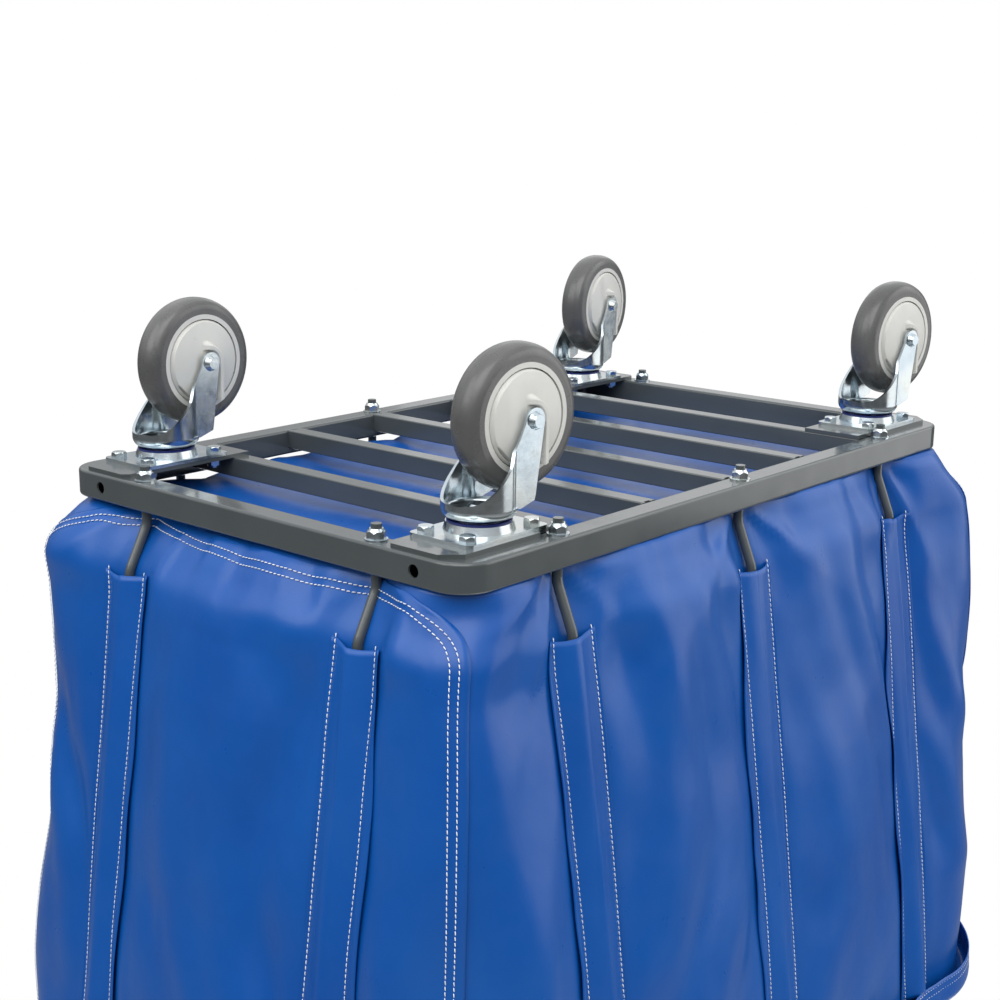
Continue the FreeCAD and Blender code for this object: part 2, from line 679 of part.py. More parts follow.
def build_base():
    save("base_ring", ring_tube())
    first = -SLAT_PITCH * (SLATS - 1) / 2
    for i in range(SLATS):
        save("slat_%d" % (i + 1), slat(first + i * SLAT_PITCH))
    for name, (sx, sy, _) in CASTERS.items():
        save("corner_plate_" + name, caster_plate(sx, sy))


def build_rods():
    for name, side in (("left", -1), ("right", 1)):
        save("end_bow_" + name, end_bow(side))
    for name, side in (("front", -1), ("back", 1)):
        save("side_bow_" + name, side_bow(side))
        save("side_post_" + name, post(side))
    save("bow_nuts", rod_nuts())
    save("bow_washers", rod_washers())


def build_bag():
    body = bag_shell()
    for name, side in (("left", -1), ("right", 1)):
        window = end_window(side)
        save("bag_end_" + name, body.common(window))
        body = body.cut(window)
    save("bag_body", body)
    save("bag_hem", hem())
    save("bag_sleeves_end", end_sleeves())
    save("bag_sleeves_side", side_sleeves())


def build_casters():
    fixed = {"top_plate": top_plate(), "seal": seal_ring(), "kingpin": kingpin()}
    fixed["plate_bolts"] = plate_bolts()
    turning = {"fork": fork(), "axle": axle(), "guards": guards(), "core": wheel_core(), "tyre": tyre()}
    for caster in CASTERS:
        for name, shape in fixed.items():
            save(name + "_" + caster, placed(shape, caster, False))
        for name, shape in turning.items():
            save(name + "_" + caster, placed(shape, caster, True))


def main():
    os.makedirs("parts", exist_ok=True)
    build_base()
    build_rods()
    build_bag()
    build_casters()
    for name, shape in nodes.items():
        shape.exportStep("parts/" + name + ".step")
    print(len(nodes), "nodes")


main()
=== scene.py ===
import math

import bpy
import numpy as np
from mathutils import Matrix, Vector


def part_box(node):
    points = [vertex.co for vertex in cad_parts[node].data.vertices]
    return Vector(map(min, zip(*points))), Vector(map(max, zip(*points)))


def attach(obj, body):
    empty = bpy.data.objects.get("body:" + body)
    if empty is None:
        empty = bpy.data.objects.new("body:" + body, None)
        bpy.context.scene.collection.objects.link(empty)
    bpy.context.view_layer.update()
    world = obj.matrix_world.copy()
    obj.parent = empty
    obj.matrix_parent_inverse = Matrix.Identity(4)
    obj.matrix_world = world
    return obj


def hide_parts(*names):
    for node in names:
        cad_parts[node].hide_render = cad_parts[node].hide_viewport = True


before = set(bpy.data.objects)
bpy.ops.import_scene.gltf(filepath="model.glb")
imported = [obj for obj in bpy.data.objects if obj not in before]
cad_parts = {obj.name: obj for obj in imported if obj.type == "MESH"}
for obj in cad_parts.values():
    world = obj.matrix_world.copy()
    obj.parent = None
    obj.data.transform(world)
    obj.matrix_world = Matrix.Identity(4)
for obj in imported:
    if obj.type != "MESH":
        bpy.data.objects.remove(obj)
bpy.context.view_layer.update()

# ------------------------------------------------------------------ driving sizes, in metres
RING_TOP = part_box("base_ring")[1].z
BAG_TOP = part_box("bag_body")[1].z
HEM_LOW, HEM_TOP = (corner.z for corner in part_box("bag_hem"))
BOW_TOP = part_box("end_bow_right")[1].z
POST_LOW, POST_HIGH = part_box("side_post_back")
ROD_R = (POST_HIGH.x - POST_LOW.x) / 2
ROD_Y = POST_LOW.y + ROD_R
ROD_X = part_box("end_bow_right")[0].x + ROD_R
TOP_Y = POST_HIGH.y - ROD_R
TOP_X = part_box("end_bow_right")[1].x - ROD_R
SIDE_ROD_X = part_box("side_bow_back")[1].x - ROD_R
END_ROD_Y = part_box("end_bow_right")[1].y - ROD_R
KICK_LOW, KICK_HIGH = 0.203, 0.245
LEAN_X, LEAN_Y = 0.422, 0.2715
BAG_GAP = 0.006
SLEEVE_FOOT, SLEEVE_HEAD = 0.247, 0.805
TRAIL = 0.038
AXLE_Z = 0.0635

# ------------------------------------------------------------------ camera, light and floor
CAMERA_AT = (-1.3209, 1.0855, -0.1947)
IMAGE_RIGHT = (0.65375, 0.75662, -0.01176)
IMAGE_UP = (0.17715, -0.16813, -0.96972)
LENS_MM = 58.58
SHIFT = (-0.0036, 0.0088)
SKY_LEVELS = [(0.0, 1.0), (0.30, 0.85), (0.41, 0.40), (0.50, 0.12), (0.62, 0.10), (1.0, 0.75)]
SKY_STRENGTH = 1.15
LIT_MIDDLE = (0.0, 0.0, 0.35)
SOFTBOXES = [  # name, place, aim, size in metres, watts
    ("key_below", (-2.1, 1.4, -2.7), LIT_MIDDLE, 3.2, 86),
    ("left_side", (-3.1, -1.2, -2.0), LIT_MIDDLE, 2.4, 38),
    ("right_side", (3.0, 3.0, -0.6), LIT_MIDDLE, 4.0, 70),
    ("over_head", (0.4, 0.5, 3.4), LIT_MIDDLE, 4.0, 75),
    ("far_side", (3.2, -2.0, -0.9), (0.1, 0.0, 0.15), 2.0, 5),
    ("far_top", (1.8, -2.2, 1.6), LIT_MIDDLE, 1.6, 16),
]
FLOOR_HALF = 30.0


def make_camera():
    """The truck is seen wheels up, so the camera looks from below with its own up pointing down."""
    data = bpy.data.cameras.new("camera")
    data.lens = LENS_MM
    data.sensor_width = 36.0
    data.shift_x, data.shift_y = SHIFT
    data.clip_start = 0.05
    right = Vector(IMAGE_RIGHT).normalized()
    up = Vector(IMAGE_UP)
    up = (up - up.dot(right) * right).normalized()
    back = right.cross(up)
    camera = bpy.data.objects.new("camera", data)
    turn = Matrix((right, up, back)).transposed().to_4x4()
    camera.matrix_world = Matrix.Translation(CAMERA_AT) @ turn
    bpy.context.scene.collection.objects.link(camera)
    bpy.context.scene.camera = camera


def softbox(name, at, aim, size, watts):
    """One square area light, which the camera doesn't see."""
    data = bpy.data.lights.new(name, "AREA")
    data.shape = "SQUARE"
    data.size = size
    data.energy = watts
    light = bpy.data.objects.new(name, data)
    light.location = at
    light.rotation_euler = (Vector(aim) - Vector(at)).to_track_quat("-Z", "Y").to_euler()
    light.visible_camera = False
    bpy.context.scene.collection.objects.link(light)


def make_world():
    """White to the camera; as light, a sky that is bright below and above and dim at the sides."""
    world = bpy.data.worlds.new("studio")
    world.use_nodes = True
    tree = world.node_tree
    tree.nodes.clear()
    out = tree.nodes.new("ShaderNodeOutputWorld")
    mix = tree.nodes.new("ShaderNodeMixShader")
    seen = tree.nodes.new("ShaderNodeBackground")
    lit = tree.nodes.new("ShaderNodeBackground")
    path = tree.nodes.new("ShaderNodeLightPath")
    place = tree.nodes.new("ShaderNodeTexCoord")
    split = tree.nodes.new("ShaderNodeSeparateXYZ")
    half = tree.nodes.new("ShaderNodeMapRange")
    half.inputs["From Min"].default_value = -1.0
    ramp = tree.nodes.new("ShaderNodeValToRGB")
    tree.links.new(place.outputs["Generated"], split.inputs[0])
    tree.links.new(split.outputs["Z"], half.inputs["Value"])
    tree.links.new(half.outputs["Result"], ramp.inputs["Fac"])
    while len(ramp.color_ramp.elements) < len(SKY_LEVELS):
        ramp.color_ramp.elements.new(0.5)
    for element, (at, level) in zip(ramp.color_ramp.elements, SKY_LEVELS):
        element.position = at
        element.color = (level, level * 1.01, level * 1.03, 1)
    tree.links.new(ramp.outputs["Color"], lit.inputs["Color"])
    lit.inputs["Strength"].default_value = SKY_STRENGTH
    seen.inputs["Strength"].default_value = 1.0
    seen.inputs["Color"].default_value = (1, 1, 1, 1)
    tree.links.new(path.outputs["Is Camera Ray"], mix.inputs["Fac"])
    tree.links.new(lit.outputs[0], mix.inputs[1])
    tree.links.new(seen.outputs[0], mix.inputs[2])
    tree.links.new(mix.outputs[0], out.inputs["Surface"])
    bpy.context.scene.world = world
    bpy.context.scene.view_settings.view_transform = "Standard"


def make_floor():
    """A pale floor under the wheels, which is clear when seen from below."""
    mesh = bpy.data.meshes.new("floor")
    corners = [(FLOOR_HALF * x, FLOOR_HALF * y, 0) for x, y in ((-1, -1), (1, -1), (1, 1), (-1, 1))]
    mesh.from_pydata(corners, [], [(0, 1, 2, 3)])
    floor = bpy.data.objects.new("floor", mesh)
    mat = Finish("pale_floor", (0.82, 0.82, 0.81), 0.85)
    mat.colours(mat.noise(0.8, 3.0, 0.5), [(0.3, (0.79, 0.79, 0.78)), (0.7, (0.84, 0.84, 0.83))])
    mat.bump(mat.noise(60.0, 3.0, 0.5), 0.0004)
    mat.gloss(Emission_Strength=0.22, Specular_IOR_Level=0.1)
    mat.bsdf.inputs["Emission Color"].default_value = (1, 1, 1, 1)
    tree = mat.tree
    facing = tree.nodes.new("ShaderNodeNewGeometry")
    clear = tree.nodes.new("ShaderNodeBsdfTransparent")
    mix = tree.nodes.new("ShaderNodeMixShader")
    tree.links.new(facing.outputs["Backfacing"], mix.inputs["Fac"])
    tree.links.new(mat.bsdf.outputs[0], mix.inputs[1])
    tree.links.new(clear.outputs[0], mix.inputs[2])
    tree.links.new(mix.outputs[0], tree.nodes["Material Output"].inputs["Surface"])
    mesh.materials.append(mat.mat)
    floor.visible_diffuse = False
    floor.visible_glossy = False
    floor.visible_shadow = False
    bpy.context.scene.collection.objects.link(floor)


# ------------------------------------------------------------------ materials

class Finish:
    """A principled material whose colour, roughness and bump are built up from procedural layers."""

    def __init__(self, name, colour, rough, metal=0.0):
        self.mat = bpy.data.materials.new(name)
        self.mat.use_nodes = True
        self.tree = self.mat.node_tree
        self.bsdf = self.tree.nodes["Principled BSDF"]
        self.bsdf.inputs["Base Color"].default_value = (*colour, 1)
        self.bsdf.inputs["Roughness"].default_value = rough
        self.bsdf.inputs["Metallic"].default_value = metal
        self.place = self.tree.nodes.new("ShaderNodeTexCoord").outputs["Object"]
        self.bump_from = None

    def link(self, a, b):
        self.tree.links.new(a, b)

    def stretched(self, scale):
        node = self.tree.nodes.new("ShaderNodeMapping")
        node.inputs["Scale"].default_value = scale
        self.link(self.place, node.inputs["Vector"])
        return node.outputs[0]

    def noise(self, scale, detail=3.0, rough=0.5, stretch=None, twist=0.0):
        node = self.tree.nodes.new("ShaderNodeTexNoise")
        node.inputs["Scale"].default_value = scale
        node.inputs["Detail"].default_value = detail
        node.inputs["Roughness"].default_value = rough
        node.inputs["Distortion"].default_value = twist
        self.link(self.stretched(stretch) if stretch else self.place, node.inputs["Vector"])
        return node.outputs["Fac"]

    def remap(self, value, low, high, to_low, to_high):
        node = self.tree.nodes.new("ShaderNodeMapRange")
        for name, number in zip(("From Min", "From Max", "To Min", "To Max"), (low, high, to_low, to_high)):
            node.inputs[name].default_value = number
        self.link(value, node.inputs["Value"])
        return node.outputs["Result"]

    def colours(self, value, stops):
        node = self.tree.nodes.new("ShaderNodeValToRGB")
        ramp = node.color_ramp
        while len(ramp.elements) < len(stops):
            ramp.elements.new(0.5)
        for element, (at, colour) in zip(ramp.elements, stops):
            element.position = at
            element.color = (*colour, 1)
        self.link(value, node.inputs["Fac"])
        self.link(node.outputs["Color"], self.bsdf.inputs["Base Color"])

    def roughness(self, value, low, high, to_low, to_high):
        self.link(self.remap(value, low, high, to_low, to_high), self.bsdf.inputs["Roughness"])

    def bump(self, value, depth, strength=1.0):
        node = self.tree.nodes.new("ShaderNodeBump")
        node.inputs["Strength"].default_value = strength
        node.inputs["Distance"].default_value = depth
        self.link(value, node.inputs["Height"])
        if self.bump_from is not None:
            self.link(self.bump_from, node.inputs["Normal"])
        self.bump_from = node.outputs["Normal"]
        self.link(self.bump_from, self.bsdf.inputs["Normal"])

    def gloss(self, **sockets):
        for name, value in sockets.items():
            self.bsdf.inputs[name.replace("_", " ")].default_value = value


def vinyl(name):
    """Vinyl-coated cloth: satin, faintly mottled blue over a very fine weave."""
    f = Finish(name, (0.003, 0.080, 0.345), 0.36)
    f.colours(f.noise(5.0, 4.0, 0.6), [
        (0.30, (0.002, 0.068, 0.315)), (0.55, (0.003, 0.080, 0.345)), (0.80, (0.008, 0.092, 0.370)),
    ])
    f.roughness(f.noise(26.0, 4.0, 0.65), 0.3, 0.7, 0.27, 0.38)
    f.bump(f.noise(650.0, 2.0, 0.5), 0.00004, 0.6)
    f.bump(f.noise(55.0, 3.0, 0.55), 0.0006, 0.4)
    f.gloss(Specular_IOR_Level=0.40)
    return f.mat


def powder_coat(name, colour):
    """Dark grey powder coat: glossy, with faint orange peel and dusty patches."""
    f = Finish(name, colour, 0.20)
    darker = tuple(0.92 * c for c in colour)
    lighter = tuple(1.08 * c for c in colour)
    f.colours(f.noise(12.0, 4.0, 0.55), [(0.30, darker), (0.55, colour), (0.80, lighter)])
    f.roughness(f.noise(30.0, 4.0, 0.6), 0.3, 0.7, 0.13, 0.24)
    f.bump(f.noise(500.0, 2.0, 0.5), 0.00006, 0.5)
    f.bump(f.noise(40.0, 2.0, 0.5), 0.0003, 0.35)
    f.gloss(Coat_Weight=0.35, Coat_Roughness=0.08)
    return f.mat


def zinc(name, tone=1.0):
    """Bright zinc plate: mottled grain between bluish and faintly yellow, with fine scratches."""
    f = Finish(name, (0.66, 0.71, 0.74), 0.20, 1.0)
    f.colours(f.noise(24.0, 3.0, 0.5, twist=0.8), [
        (0.25, tuple(tone * c for c in (0.44, 0.52, 0.58))),
        (0.50, tuple(tone * c for c in (0.56, 0.62, 0.65))),
        (0.75, tuple(tone * c for c in (0.63, 0.65, 0.62))),
    ])
    f.roughness(f.noise(110.0, 4.0, 0.65), 0.3, 0.7, 0.13, 0.27)
    f.bump(f.noise(240.0, 3.0, 0.55), 0.00005, 0.5)
    f.bump(f.noise(160.0, 3.0, 0.6, stretch=(1.0, 1.0, 14.0)), 0.00003, 0.5)
    return f.mat


def moulded(name, colour, rough):
    """Injection-moulded plastic with a faint flow mottle."""
    f = Finish(name, colour, rough)
    f.colours(f.noise(22.0, 4.0, 0.55), [
        (0.30, tuple(0.93 * c for c in colour)), (0.70, colour),
    ])
    f.roughness(f.noise(90.0, 3.0, 0.6), 0.3, 0.7, rough - 0.07, rough + 0.08)
    f.bump(f.noise(700.0, 2.0, 0.5), 0.00005, 0.6)
    return f.mat


def rubber(name):
    """Grey thermoplastic rubber: soft gloss, scuffed in patches."""
    f = Finish(name, (0.10, 0.10, 0.098), 0.36)
    f.colours(f.noise(16.0, 6.0, 0.65), [
        (0.32, (0.072, 0.072, 0.071)), (0.55, (0.098, 0.098, 0.096)), (0.78, (0.125, 0.125, 0.121)),
    ])
    f.roughness(f.noise(34.0, 5.0, 0.7), 0.3, 0.7, 0.20, 0.38)
    f.bump(f.noise(500.0, 2.0, 0.5), 0.00003, 0.4)
    f.gloss(Coat_Weight=0.12, Coat_Roughness=0.2)
    return f.mat


def thread(name):
    """Pale sewing thread, matt, with a fine twist."""
    f = Finish(name, (0.80, 0.82, 0.84), 0.7)
    f.colours(f.noise(60.0, 3.0, 0.5), [(0.35, (0.66, 0.70, 0.75)), (0.65, (0.86, 0.87, 0.88))])
    f.bump(f.noise(2600.0, 2.0, 0.5), 0.00012)
    f.gloss(Sheen_Weight=0.3)
    return f.mat


# ------------------------------------------------------------------ mesh helpers

def add_mesh(name, verts, faces, mat, smooth=True):
    """One mesh object from arrays; the caller says which body it rides on."""
    mesh = bpy.data.meshes.new(name)
    mesh.from_pydata(np.asarray(verts).reshape(-1, 3).tolist(), [], faces)
    mesh.validate()
    mesh.polygons.foreach_set("use_smooth", [smooth] * len(mesh.polygons))
    mesh.materials.append(mat)
    mesh.update()
    obj = bpy.data.objects.new(name, mesh)
    bpy.context.scene.collection.objects.link(obj)
    return obj


def grid_faces(rows, cols, wrap=False, keep=None, start=0):
    """Quads of a grid of points, row by row; keep(i, j) can leave some out."""
    across = cols if wrap else cols - 1
    faces = []
    for i in range(rows - 1):
        for j in range(across):
            if keep is None or keep(i, j):
                k = (j + 1) % cols
                a, b = start + i * cols, start + (i + 1) * cols
                faces.append((a + j, a + k, b + k, b + j))
    return faces


def band(a, b, count):
    """Quads between two closed rings of count points that start at a and at b."""
    return [(a + j, a + (j + 1) % count, b + (j + 1) % count, b + j) for j in range(count)]


def thicken(obj, depth):
    """Give a sheet its thickness, on the inner side of its points."""
    solid = obj.modifiers.new("thickness", "SOLIDIFY")
    solid.thickness = depth
    solid.offset = -1.0
    solid.use_even_offset = False


def ease(t):
    """A smooth step from 0 at t = 0 to 1 at t = 1."""
    t = np.clip(t, 0.0, 1.0)
    return t * t * (3 - 2 * t)


def ripple(x, y, seed):
    """A smooth, repeatable wave between -1 and 1, made of a few slanted sines."""
    rng = np.random.default_rng(seed)
    total = np.zeros(np.broadcast(x, y).shape)
    for _ in range(5):
        kx, ky, phase = rng.normal(0, 1), rng.normal(0, 1), rng.uniform(0, 2 * math.pi)
        total = total + np.sin(kx * x + ky * y + phase)
    return total / 3.2


# ------------------------------------------------------------------ the bag's skin

WALL_LOW = RING_TOP + 0.001
WALL_HIGH = BAG_TOP - 0.002
SIM_COLS, SIM_ROWS = 288, 66
LOW_CORNER_R, TOP_CORNER_R = 0.030, 0.160
END_BAYS = (0, 5)
SWELL_AT = [0.19, 0.23, 0.28, 0.34, 0.40, 0.46, 0.50, 0.54, 0.62, 0.68, 0.80]
CORNER_SWELL = {
    1: [0.031, 0.035, 0.036, 0.035, 0.032, 0.028, 0.026, 0.024, 0.023, 0.024, 0.008],
    4: [0.022, 0.012, 0.010, 0.014, 0.017, 0.019, 0.020, 0.020, 0.016, 0.012, 0.004],
    6: [0.038, 0.033, 0.023, 0.018, 0.011, 0.008, 0.008, 0.007, 0.008, 0.008, 0.003],
    9: [0.032, 0.036, 0.034, 0.030, 0.026, 0.022, 0.020, 0.018, 0.015, 0.012, 0.004],
}
END_SWELL = [0.023, 0.011, 0.006, 0.009, 0.008, 0.007, 0.006, 0.005, 0.004, 0.003, 0.000]
SIDE_SWELL = [0.023, 0.013, 0.012, 0.011, 0.009, 0.008, 0.007, 0.006, 0.004, 0.003, 0.000]
SLACK_ROUND, TAUT_UP, MOST_MOVED = 0.032, 0.955, 0.022
HELD_AT_ROD, HELD_ABOVE = 0.007, 0.80
CLOTH_STEPS = 22
BROAD_ROWS, FINE_ROWS = 9, 2
CREASE_COUNT, CREASE_REACH, CREASE_DEEP = 3.6, 0.105, 0.0062
FOLD_COUNT, FOLD_DEEP = 44.0, 0.0060
CREASES_BELOW, END_CREASE_SHARE = 0.42, 0.35
RODS = [(centre, offset) for centre, offsets in (
    (0.0, (END_ROD_Y,)), (0.25, (-SIDE_ROD_X, 0.0, SIDE_ROD_X)), (0.5, (-END_ROD_Y, END_ROD_Y)),
    (0.75, (-SIDE_ROD_X, 0.0, SIDE_ROD_X)), (1.0, (-END_ROD_Y,))) for offset in offsets]


def on_end(rod):
    """Whether a rod belongs to an end bow."""
    return rod[0] in (0.0, 0.5, 1.0)


def reach(z, base, low, top):
    """How far out a bow's leg stands: upright, kicked out, then leaning."""
    kick = np.clip((z - KICK_LOW) / (KICK_HIGH - KICK_LOW), 0, 1)
    lean = np.clip((z - KICK_HIGH) / (BOW_TOP - KICK_HIGH), 0, 2)
    return base + (low - base) * kick + (top - low) * lean


def plan(z):
    """Half length, half width, corner radius and girth of the bag at a height."""
    a = reach(z, ROD_X, LEAN_X, TOP_X) - BAG_GAP
    b = reach(z, ROD_Y, LEAN_Y, TOP_Y) - BAG_GAP
    r = LOW_CORNER_R + (TOP_CORNER_R - LOW_CORNER_R) * np.clip((z - KICK_HIGH) / (BOW_TOP - KICK_HIGH), 0, 1)
    return a, b, r, 4 * (a + b - 2 * r) + 2 * math.pi * r


def rounded(a, b, r, f):
    """Points and outward directions at fractions f round a rounded rectangle, from the middle of +X."""
    f = f % 1.0
    quarter = np.floor(4 * f).astype(int) % 4
    t = 4 * f - np.floor(4 * f)
    t = np.where(quarter % 2 == 1, 1 - t, t)
    along = t * (a + b - 2 * r + math.pi * r / 2)
    straight = b - r
    turn = np.clip((along - straight) / r, 0, math.pi / 2)
    x = a - r + r * np.cos(turn) - np.maximum(along - straight - math.pi * r / 2, 0)
    y = np.minimum(along, straight) + r * np.sin(turn)
    sx = np.where((quarter == 0) | (quarter == 3), 1, -1)
    sy = np.where(quarter < 2, 1, -1)
    return np.stack([x * sx, y * sy], -1), np.stack([np.cos(turn) * sx, np.sin(turn) * sy], -1)


def wall_start():
    """The bag's wall before it slackens: out between the rods, close behind them, rolled in at the foot."""
    f = np.arange(SIM_COLS) / SIM_COLS
    heights = np.linspace(WALL_LOW, WALL_HIGH, SIM_ROWS)
    points = np.zeros((SIM_ROWS, SIM_COLS, 3))
    to_rod = np.zeros((SIM_ROWS, SIM_COLS))
    for i, z in enumerate(heights):
        a, b, r, girth = plan(z)
        at, out = rounded(a, b, r, f)
        rods = np.array([centre + offset / girth for centre, offset in RODS])
        bay = np.searchsorted(rods, f) % len(rods)
        width = (rods[bay] - rods[bay - 1]) % 1.0
        share = ((f - rods[bay - 1]) % 1.0) / width
        swell = np.where(np.isin(bay, END_BAYS), np.interp(z, SWELL_AT, END_SWELL),
                         np.interp(z, SWELL_AT, SIDE_SWELL))
        for corner, amounts in CORNER_SWELL.items():
            swell[bay == corner] = np.interp(z, SWELL_AT, amounts)
        swell = swell * np.sin(math.pi * share) ** (0.7 + 0.8 * float(ease((z - 0.20) / 0.08)))
        far = ease((0.22 - at[:, 1]) / 0.42)
        roll = np.clip(1 - (z - WALL_LOW) / (0.010 + 0.045 * far), 0, 1)
        inset = (0.006 + 0.026 * far) * (1 - np.sqrt(1 - roll ** 2))
        points[i, :, :2] = at + out * (swell - inset)[:, None]
        points[i, :, 2] = z
        to_rod[i] = np.minimum(share, 1 - share) * width * girth
    return points, to_rod


def slacken(points, to_rod):
    """Let the wall go slack by cloth simulation, held at the rods, the mouth and the floor's edge.

    The movement is smoothed up and down the wall afterwards, most where it is far from the base."""
    rows, cols, _ = points.shape
    mesh = bpy.data.meshes.new("slack")
    mesh.from_pydata(points.reshape(-1, 3).tolist(), [], grid_faces(rows, cols, True))
    obj = bpy.data.objects.new("slack", mesh)
    bpy.context.scene.collection.objects.link(obj)
    obj.shape_key_add(name="start")
    taut = obj.shape_key_add(name="taut")
    rest = points.copy()
    rest[:, :, 2] = WALL_LOW + (points[:, :, 2] - WALL_LOW) * TAUT_UP
    taut.data.foreach_set("co", rest.ravel())
    held = (to_rod < HELD_AT_ROD) | (points[:, :, 2] > HELD_ABOVE)
    held[0] = True
    group = obj.vertex_groups.new(name="held")
    group.add(np.nonzero(held.ravel())[0].tolist(), 1.0, "REPLACE")
    cloth = obj.modifiers.new("cloth", "CLOTH")
    settings = cloth.settings
    settings.quality = 6
    settings.mass = 0.3
    settings.tension_stiffness = settings.compression_stiffness = 15
    settings.shear_stiffness = 5
    settings.bending_stiffness = 6
    settings.air_damping = 1
    settings.vertex_group_mass = "held"
    settings.shrink_min = -SLACK_ROUND
    settings.rest_shape_key = taut
    settings.use_pressure = True
    settings.uniform_pressure_force = 1.0
    settings.effector_weights.gravity = 0
    cloth.point_cache.frame_start = 1
    cloth.point_cache.frame_end = CLOTH_STEPS + 1
    for step in range(1, CLOTH_STEPS + 1):
        bpy.context.scene.frame_set(step)
    made = obj.evaluated_get(bpy.context.evaluated_depsgraph_get()).to_mesh()
    moved = np.zeros(rows * cols * 3, np.float32)
    made.vertices.foreach_get("co", moved)
    bpy.data.objects.remove(obj)
    bpy.context.scene.frame_set(1)
    move = moved.reshape(points.shape) - points
    length = np.linalg.norm(move, axis=2, keepdims=True)
    move *= np.minimum(1, MOST_MOVED / np.maximum(length, 1e-9))
    broad, fine = smooth_up(move, BROAD_ROWS), smooth_up(move, FINE_ROWS)
    near_base = 1 - ease((points[:, :, 2:] - 0.26) / 0.10)
    free = ease((to_rod - 0.022) / 0.030)[..., None]
    return points + broad + free * (0.25 + 0.75 * near_base) * (fine - broad)


def smooth_up(move, rows):
    """The movement averaged over nearby rows, so that a fold runs up and down the wall."""
    reach_rows = np.arange(-2 * rows, 2 * rows + 1)
    weights = np.exp(-0.5 * (reach_rows / rows) ** 2)
    weights /= weights.sum()
    padded = np.concatenate([move[:1]] * (2 * rows) + [move] + [move[-1:]] * (2 * rows))
    return sum(w * padded[k:k + len(move)] for k, w in enumerate(weights))


def add_creases(points):
    """Creases that fan out where each rod leaves the base, and soft folds that run up and down the wall."""
    skin = Skin(points)
    rows, cols, _ = points.shape
    f = np.arange(cols) / cols
    heights = np.linspace(WALL_LOW, WALL_HIGH, rows)
    push = np.zeros((rows, cols))
    for i, z in enumerate(heights):
        girth = plan(z)[3]
        across = [((f - centre - offset / girth + 0.5) % 1.0 - 0.5) * girth for centre, offset in RODS]
        clear = ease((np.min(np.abs(across), axis=0) - 0.020) / 0.035)
        lean = 0.05 * np.sin(9 * z + 14 * f)
        fold = ripple((f * 2.75 + lean) * FOLD_COUNT, z * 3.2 + 0 * f, 8)
        fade = ease((z - 0.20) / 0.06) * (1 - 0.6 * ease((z - 0.62) / 0.15))
        push[i] += FOLD_DEEP * np.sign(fold) * np.abs(fold) ** 1.3 * clear * fade
        if z > CREASES_BELOW:
            continue
        for n, side in enumerate(across):
            rise = z - RING_TOP + 0.008
            angle, far = np.arctan2(side, rise), np.hypot(side, rise)
            wave = np.sin(CREASE_COUNT * angle + 1.7 * n + 0.7 * np.sin(3 * angle + n))
            fan = 1 - 2 * np.abs(wave) ** 0.65
            amount = CREASE_DEEP * (END_CREASE_SHARE if on_end(RODS[n]) else 1.0)
            fade = ease(far / 0.030) * np.exp(-(far / CREASE_REACH) ** 1.5) * ease((z - WALL_LOW) / 0.012)
            push[i] += amount * fan * fade * (0.65 + 0.35 * np.sin(2.3 * n + 2 * angle))
    return points + skin.normals * push[..., None]


class Skin:
    """The wall as a surface: at(f, z, out) gives the point at fraction f round and height z, out from it."""

    def __init__(self, points):
        self.points = points
        self.rows, self.cols, _ = points.shape
        around = np.roll(points, -1, 1) - np.roll(points, 1, 1)
        up = np.gradient(points, axis=0)
        normal = np.cross(around, up)
        self.normals = normal / np.linalg.norm(normal, axis=2, keepdims=True)

    def look(self, array, f, z):
        """An array over the wall's grid, read between its points."""
        u = (f % 1.0) * self.cols
        v = np.clip((z - WALL_LOW) / (WALL_HIGH - WALL_LOW), 0, 1) * (self.rows - 1)
        j = np.floor(u).astype(int)
        i = np.minimum(np.floor(v).astype(int), self.rows - 2)
        du, dv = (u - j)[..., None], (v - i)[..., None]
        j, k = j % self.cols, (j + 1) % self.cols
        low = array[i, j] * (1 - du) + array[i, k] * du
        high = array[i + 1, j] * (1 - du) + array[i + 1, k] * du
        return low * (1 - dv) + high * dv

    def at(self, f, z, out=0.0):
        f, z = np.broadcast_arrays(np.asarray(f, float), np.asarray(z, float))
        normal = self.look(self.normals, f, z)
        return self.look(self.points, f, z) + normal * np.asarray(out)[..., None]

    def stretch(self, f, z):
        """Metres of cloth for one turn round, and for one metre of height, near a place."""
        f, z = np.broadcast_arrays(np.asarray(f, float), np.asarray(z, float))
        around = self.look(self.points, f + 0.004, z) - self.look(self.points, f - 0.004, z)
        up = self.look(self.points, f, z + 0.006) - self.look(self.points, f, z - 0.002)
        return (np.linalg.norm(around, axis=-1) / 0.008,
                np.maximum(np.linalg.norm(up, axis=-1) / 0.008, 1.0))

    def normal(self, f, z):
        f, z = np.broadcast_arrays(np.asarray(f, float), np.asarray(z, float))
        return self.look(self.normals, f, z)


def smooth_double(points):
    """Twice as many rows and columns, along smooth curves through the points."""
    before, after, beyond = np.roll(points, 1, 1), np.roll(points, -1, 1), np.roll(points, -2, 1)
    wide = np.stack([points, (9 * (points + after) - before - beyond) / 16], 2)
    wide = wide.reshape(points.shape[0], -1, 3)
    padded = np.concatenate([2 * wide[:1] - wide[1:2], wide, 2 * wide[-1:] - wide[-2:-1]])
    middle = (9 * (padded[1:-2] + padded[2:-1]) - padded[:-3] - padded[3:]) / 16
    tall = np.zeros((2 * len(wide) - 1, wide.shape[1], 3))
    tall[0::2] = wide
    tall[1::2] = middle
    return tall


def make_skin():
    """The bag's wall: swollen between the rods, slackened, then creased."""
    points, to_rod = wall_start()
    points = slacken(points, to_rod)
    return Skin(add_creases(smooth_double(points)))


# ------------------------------------------------------------------ the bag's panels

